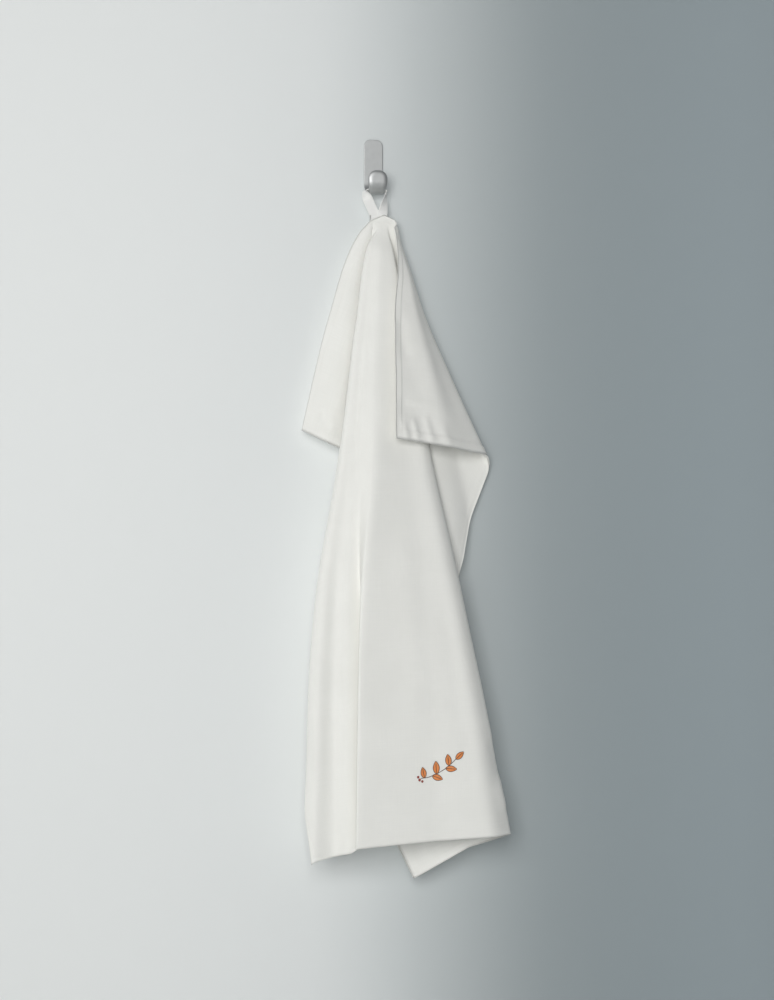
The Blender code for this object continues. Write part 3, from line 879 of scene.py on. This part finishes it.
# The rows of stitches over the sewn ends: how far below the top of the cloth each one is,
# how far it stays off the tape's edges, the gap between the rows on the two strands, and
# how far a stitch's middle stands out, as a share of its radius
SEAM_DROPS = (0.0030, 0.0085)
SEAM_INSET = 0.0008
SEAM_GAP = 0.0016
SEAM_RISE = 0.3
LOOP_STITCH_PITCH = 0.0014
LOOP_STITCH_LENGTH = 0.0011
# Lit and shaded tones of the tape: painted shade in the hollows between the ribs, a lighter tone on
# their tops
TAPE_RIB_TOPS_LIT = (0.92, 0.917, 0.90, 1.0)
TAPE_HOLLOWS_PAINTED_SHADE = (0.86, 0.857, 0.84, 1.0)
TAPE_RIB = 0.00075
TAPE_WARP = 0.8 * TAPE_RIB
CLOTH_BACK_Y = HANG_POINT[1] + CLOTH_THICKNESS / 2 + HEM_EXTRA_BACK

# Places on a strand, as shares of its way down, at which the next table says how far it
# has turned from lying in the bend to lying flat on the cloth
TURN_PLACES = (0.0, 0.4, 1.0)
# A row for each strand: its side, the layers of tape between it and the cloth, where its
# top and its foot are to the side, in metres, and its turned shares
STRANDS = (
    (-1, 1, -0.0128, -0.0008, (0.12, 1.0, 1.0)),
    (1, 0, 0.0124, 0.0073, (0.12, 0.45, 1.0)),
)


def loop_route():
    """Centre line from the left sewn end to the right one: point and turned share."""
    front_edge = TAPE_WIDTH / 2 + LOOP_FORWARD
    seat_rise = BEND_RADIUS - math.sqrt(BEND_RADIUS ** 2 - front_edge ** 2)
    seat_y = -(STEEL_THICKNESS + BEND_RADIUS + LOOP_FORWARD)
    seat_z = BEND_CENTRE_Z - BEND_RADIUS + seat_rise + TAPE_THICKNESS / 2 + LOOP_GAP
    strands = []
    for side, layer, top_x, foot_x, turned_shares in STRANDS:
        foot_y = CLOTH_BACK_Y + LOOP_GAP + TAPE_THICKNESS / 2 + layer * (TAPE_THICKNESS + LOOP_GAP)
        top = Vector((top_x, seat_y, seat_z - LOOP_BEND))
        foot = Vector((foot_x, foot_y, HANG_POINT[2]))
        strand = []
        for step in range(TURN_STEPS, 0, -1):
            share = step / TURN_STEPS
            turn = math.radians(90 * share)
            place = Vector((top.x - side * LOOP_BEND * (1 - math.cos(turn)), seat_y,
                            top.z + LOOP_BEND * math.sin(turn)))
            strand.append((place, turned_shares[0] * (1 - share)))
        for step in range(STRAND_STEPS + 1):
            t = step / STRAND_STEPS
            place = Vector((top.x + (foot.x - top.x) * t,
                            top.y + (foot.y - top.y) * float(smooth_step(t, 0.0, AT_BACK_BY)),
                            top.z + (foot.z - top.z) * t))
            strand.append((place, float(np.interp(t, TURN_PLACES, turned_shares))))
        strand.append((foot - Vector((0, 0, FOOT_SEWN)), 1.0))
        strands.append(strand)
    left, right = strands
    return left[::-1] + right


def full_share(share, power):
    """A share of a half width, pushed outward by a power below 1."""
    return math.copysign(abs(share) ** power, share)


def build_tape():
    """A flat band with round edges along the route, with its own flat places for the weave."""
    route = loop_route()
    curl = BEND_RADIUS - TAPE_THICKNESS
    edge_height = math.sqrt(curl ** 2 - (TAPE_WIDTH / 2) ** 2)
    flat_shares = np.cos(np.linspace(0, 2 * math.pi, CROSS_POINTS, endpoint=False))
    rise_shares = np.sin(np.linspace(0, 2 * math.pi, CROSS_POINTS, endpoint=False))
    mesh = bmesh.new()
    weave_map = mesh.loops.layers.uv.new("weave")
    rings = []
    run = 0.0
    for i, (place, turned) in enumerate(route):
        before = route[max(0, i - 1)][0]
        after = route[min(len(route) - 1, i + 1)][0]
        run += (place - before).length
        along = (after - before).normalized()
        depth = Vector((0, 1, 0))
        depth = (depth - along * depth.dot(along)).normalized()
        face = along.cross(depth).normalized()
        turn = turned * math.radians(90)
        across = depth * math.cos(turn) + face * math.sin(turn)
        facing = along.cross(across).normalized()
        ring = []
        for flat_share, rise_share in zip(flat_shares, rise_shares):
            reach = full_share(flat_share, BAND_FLATNESS) * TAPE_WIDTH / 2
            sag = (math.sqrt(curl ** 2 - reach ** 2) - edge_height) * (1 - turned)
            thick = full_share(rise_share, BAND_FULLNESS) * TAPE_THICKNESS / 2
            ring.append((mesh.verts.new(place + across * reach + facing * (thick - sag)),
                         (reach, run)))
        rings.append(ring)
    for one, two in zip(rings, rings[1:]):
        for i in range(CROSS_POINTS):
            j = (i + 1) % CROSS_POINTS
            corners = (one[i], one[j], two[j], two[i])
            made = mesh.faces.new([corner[0] for corner in corners])
            for loop, corner in zip(made.loops, corners):
                loop[weave_map].uv = corner[1]
    mesh.faces.new([corner[0] for corner in rings[0]])
    mesh.faces.new([corner[0] for corner in reversed(rings[-1])])
    return smooth_object(mesh, "cotton_tape")


def woven_tape():
    """Fine ribs across the tape, crossed by its lengthwise threads, with painted shade in the hollows
    between the ribs and a lighter tone on their tops.
    """
    finish, tree, shader = new_material("Woven cotton tape")
    shader.inputs["Roughness"].default_value = 0.88
    shader.inputs["Sheen Weight"].default_value = 0.25
    flat = node(tree, "ShaderNodeUVMap", uv_map="weave")
    rib = math_node(tree, "ADD", *crossed_waves(tree, flat, (TAPE_RIB / 2, TAPE_WARP / 2)))
    add_relief(tree, shader, rib, strength=0.5, distance=0.00012)
    # Painted shade: the colour follows the ribs' relief, darker in its hollows
    spread = node(tree, "ShaderNodeMapRange", [("Value", rib)], From_Min=-2.0, From_Max=2.0)
    mix_colours(tree, shader, spread.outputs["Result"], TAPE_HOLLOWS_PAINTED_SHADE, TAPE_RIB_TOPS_LIT)
    return finish


def loop_seams():
    """Two short rows of stitches across each sewn end, on the tape's outer face."""
    outer_y = CLOTH_BACK_Y + 2 * (LOOP_GAP + TAPE_THICKNESS) + STITCH_RADIUS * SEAM_RISE
    under_y = outer_y - TAPE_THICKNESS - LOOP_GAP
    left_x, right_x = [row[3] for row in STRANDS]
    half = TAPE_WIDTH / 2 - SEAM_INSET
    rows = ((left_x - half, left_x + half, outer_y),
            (left_x + half + SEAM_GAP, right_x + half, under_y))
    return [[Vector((x, y, HANG_POINT[2] - drop)) for x in (start, end)]
            for drop in SEAM_DROPS for start, end, y in rows]


tape = build_tape()
tape.data.materials.append(woven_tape())
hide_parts("hanging_loop")
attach(tape, "root")
loop_stitches = made_by(stitching, "loop_stitches", loop_seams(),
                        Stitch_Pitch=LOOP_STITCH_PITCH, Stitch_Length=LOOP_STITCH_LENGTH,
                        Thread_Radius=STITCH_RADIUS, Thread=sewing_thread)
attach(loop_stitches, "root")


# Studio
# A pale floor and a pale sheet close behind the hook, which takes the soft shadow
# and is clear from behind, so that the back of the towel can be seen. The sheet's colour
# carries painted shade that deepens to the right.
BACKDROP_Y = 0.0006
BACKDROP_HALF = 3.0
BACKDROP_RISE = 1.6
FLOOR_Z = -1.25
FLOOR_HALF = 3.2
FLOOR_COLOUR = (0.62, 0.63, 0.62, 1.0)
PLANE_CORNERS = ((-1, -1), (1, -1), (1, 1), (-1, 1))
# Half the width of the picture at the backdrop, and the tones across it from left to right:
# painted shade, pale at the left and deepening to the right, deepest just right of the towel
# as a painted shadow
BACKDROP_VIEW_HALF = 0.43
BACKDROP_PAINTED_SHADE_TONES = (
    (0.00, (0.77, 0.785, 0.78, 1.0)),
    (0.42, (0.79, 0.81, 0.81, 1.0)),
    (0.56, (0.58, 0.615, 0.62, 1.0)),
    (0.74, (0.28, 0.318, 0.333, 1.0)),
    (1.00, (0.355, 0.41, 0.438, 1.0)),
)


def plane(name, corners, paint):
    data = bpy.data.meshes.new(name)
    data.from_pydata(corners, [], [(0, 1, 2, 3)])
    data.materials.append(paint)
    return link(bpy.data.objects.new(name, data))


def backdrop_paint():
    """A soft grey with painted shade that deepens to the right, opaque only from the front."""
    finish, tree, shader = new_material("Backdrop grey")
    shader.inputs["Roughness"].default_value = 0.9
    shader.inputs["Specular IOR Level"].default_value = 0.1
    place = node(tree, "ShaderNodeTexCoord")
    split = node(tree, "ShaderNodeSeparateXYZ", [("Vector", place.outputs["Object"])])
    share = node(tree, "ShaderNodeMapRange", [("Value", split.outputs["X"])],
                 From_Min=-BACKDROP_VIEW_HALF, From_Max=BACKDROP_VIEW_HALF)
    # Painted shade: the ramp darkens the sheet towards the right and beside the towel
    ramp = node(tree, "ShaderNodeValToRGB", [("Fac", share.outputs["Result"])])
    ramp.color_ramp.interpolation = "B_SPLINE"
    points = ramp.color_ramp.elements
    for spot, colour in BACKDROP_PAINTED_SHADE_TONES[1:-1]:
        points.new(spot).color = colour
    points[0].color = BACKDROP_PAINTED_SHADE_TONES[0][1]
    points[-1].color = BACKDROP_PAINTED_SHADE_TONES[-1][1]
    tree.links.new(ramp.outputs["Color"], shader.inputs["Base Color"])
    clear = node(tree, "ShaderNodeBsdfTransparent")
    geometry = node(tree, "ShaderNodeNewGeometry")
    path = node(tree, "ShaderNodeLightPath")
    either = math_node(tree, "MAXIMUM", geometry.outputs["Backfacing"],
                       path.outputs["Is Shadow Ray"])
    seen = node(tree, "ShaderNodeMixShader", [
        ("Fac", either), (1, shader.outputs["BSDF"]), (2, clear.outputs["BSDF"])])
    output = tree.nodes["Material Output"]
    tree.links.new(seen.outputs["Shader"], output.inputs["Surface"])
    return finish


def floor_paint():
    finish, _, shader = new_material("Pale floor")
    shader.inputs["Base Color"].default_value = FLOOR_COLOUR
    shader.inputs["Roughness"].default_value = 0.8
    return finish


backdrop_ends = {-1: FLOOR_Z, 1: BACKDROP_RISE}
backdrop = plane("backdrop", [(x * BACKDROP_HALF, BACKDROP_Y, backdrop_ends[end])
                              for x, end in PLANE_CORNERS], backdrop_paint())
ground = plane("floor", [(x * FLOOR_HALF, y * FLOOR_HALF, FLOOR_Z) for x, y in PLANE_CORNERS],
               floor_paint())


# Light
# A large soft source a little to the left of the camera, a smaller one further left, and a
# soft one behind, which reaches only the back of the piece.
AIM = Vector((0.0, 0.0, -0.40))
# name, place, width, height, power in watts, colour
LAMPS = (
    ("key", (-0.84, -2.48, 0.06), 1.2, 1.4, 42.4, (1.0, 0.998, 0.985)),
    ("side", (-1.65, -2.05, 0.10), 0.8, 1.2, 5.5, (1.0, 0.998, 0.985)),
    ("rear", (-0.6, 2.2, 0.5), 2.0, 2.0, 26.0, (1.0, 1.0, 1.0)),
)
WORLD_STRENGTH = 0.19
WORLD_COLOUR = (0.93, 0.965, 1.0, 1.0)

for name, place, width, height, power, colour in LAMPS:
    data = bpy.data.lights.new(name, "AREA")
    data.shape = "RECTANGLE"
    data.size = width
    data.size_y = height
    data.energy = power
    data.color = colour
    lamp = link(bpy.data.objects.new(name, data))
    lamp.location = place
    lamp.rotation_euler = (AIM - Vector(place)).to_track_quat("-Z", "Y").to_euler()

world = bpy.data.worlds.new("Studio air")
world.use_nodes = True
air = world.node_tree.nodes["Background"]
air.inputs["Color"].default_value = WORLD_COLOUR
air.inputs["Strength"].default_value = WORLD_STRENGTH
scene = bpy.context.scene
scene.world = world
scene.view_settings.view_transform = "Standard"
scene.view_settings.look = "None"


# Camera
# Level, a little to the left of the towel, and far enough off for a calm perspective.
VIEW_TURN = math.radians(-12.0)
VIEW_DISTANCE = 2.4
# The picture's size in pixels, its scale, and the pixel at which the hang point shows
PICTURE_WIDTH = 774
PICTURE_HEIGHT = 1000
PIXELS_PER_METRE = 900.0
HANG_PIXEL = (384.0, 215.0)
# Height of the camera's sensor in mm
SENSOR_HEIGHT = 36.0

lens = bpy.data.cameras.new("camera")
lens.sensor_fit = "VERTICAL"
lens.sensor_height = SENSOR_HEIGHT
lens.lens = SENSOR_HEIGHT * VIEW_DISTANCE / (PICTURE_HEIGHT / PIXELS_PER_METRE)
camera = link(bpy.data.objects.new("camera", lens))
to_right = Vector((math.cos(VIEW_TURN), math.sin(VIEW_TURN), 0.0))
to_camera = Vector((math.sin(VIEW_TURN), -math.cos(VIEW_TURN), 0.0))
centre = Vector(HANG_POINT) + to_right * (PICTURE_WIDTH / 2 - HANG_PIXEL[0]) / PIXELS_PER_METRE
centre.z -= (PICTURE_HEIGHT / 2 - HANG_PIXEL[1]) / PIXELS_PER_METRE
camera.location = centre + to_camera * VIEW_DISTANCE
camera.rotation_euler = (math.radians(90.0), 0.0, VIEW_TURN)
scene.camera = camera
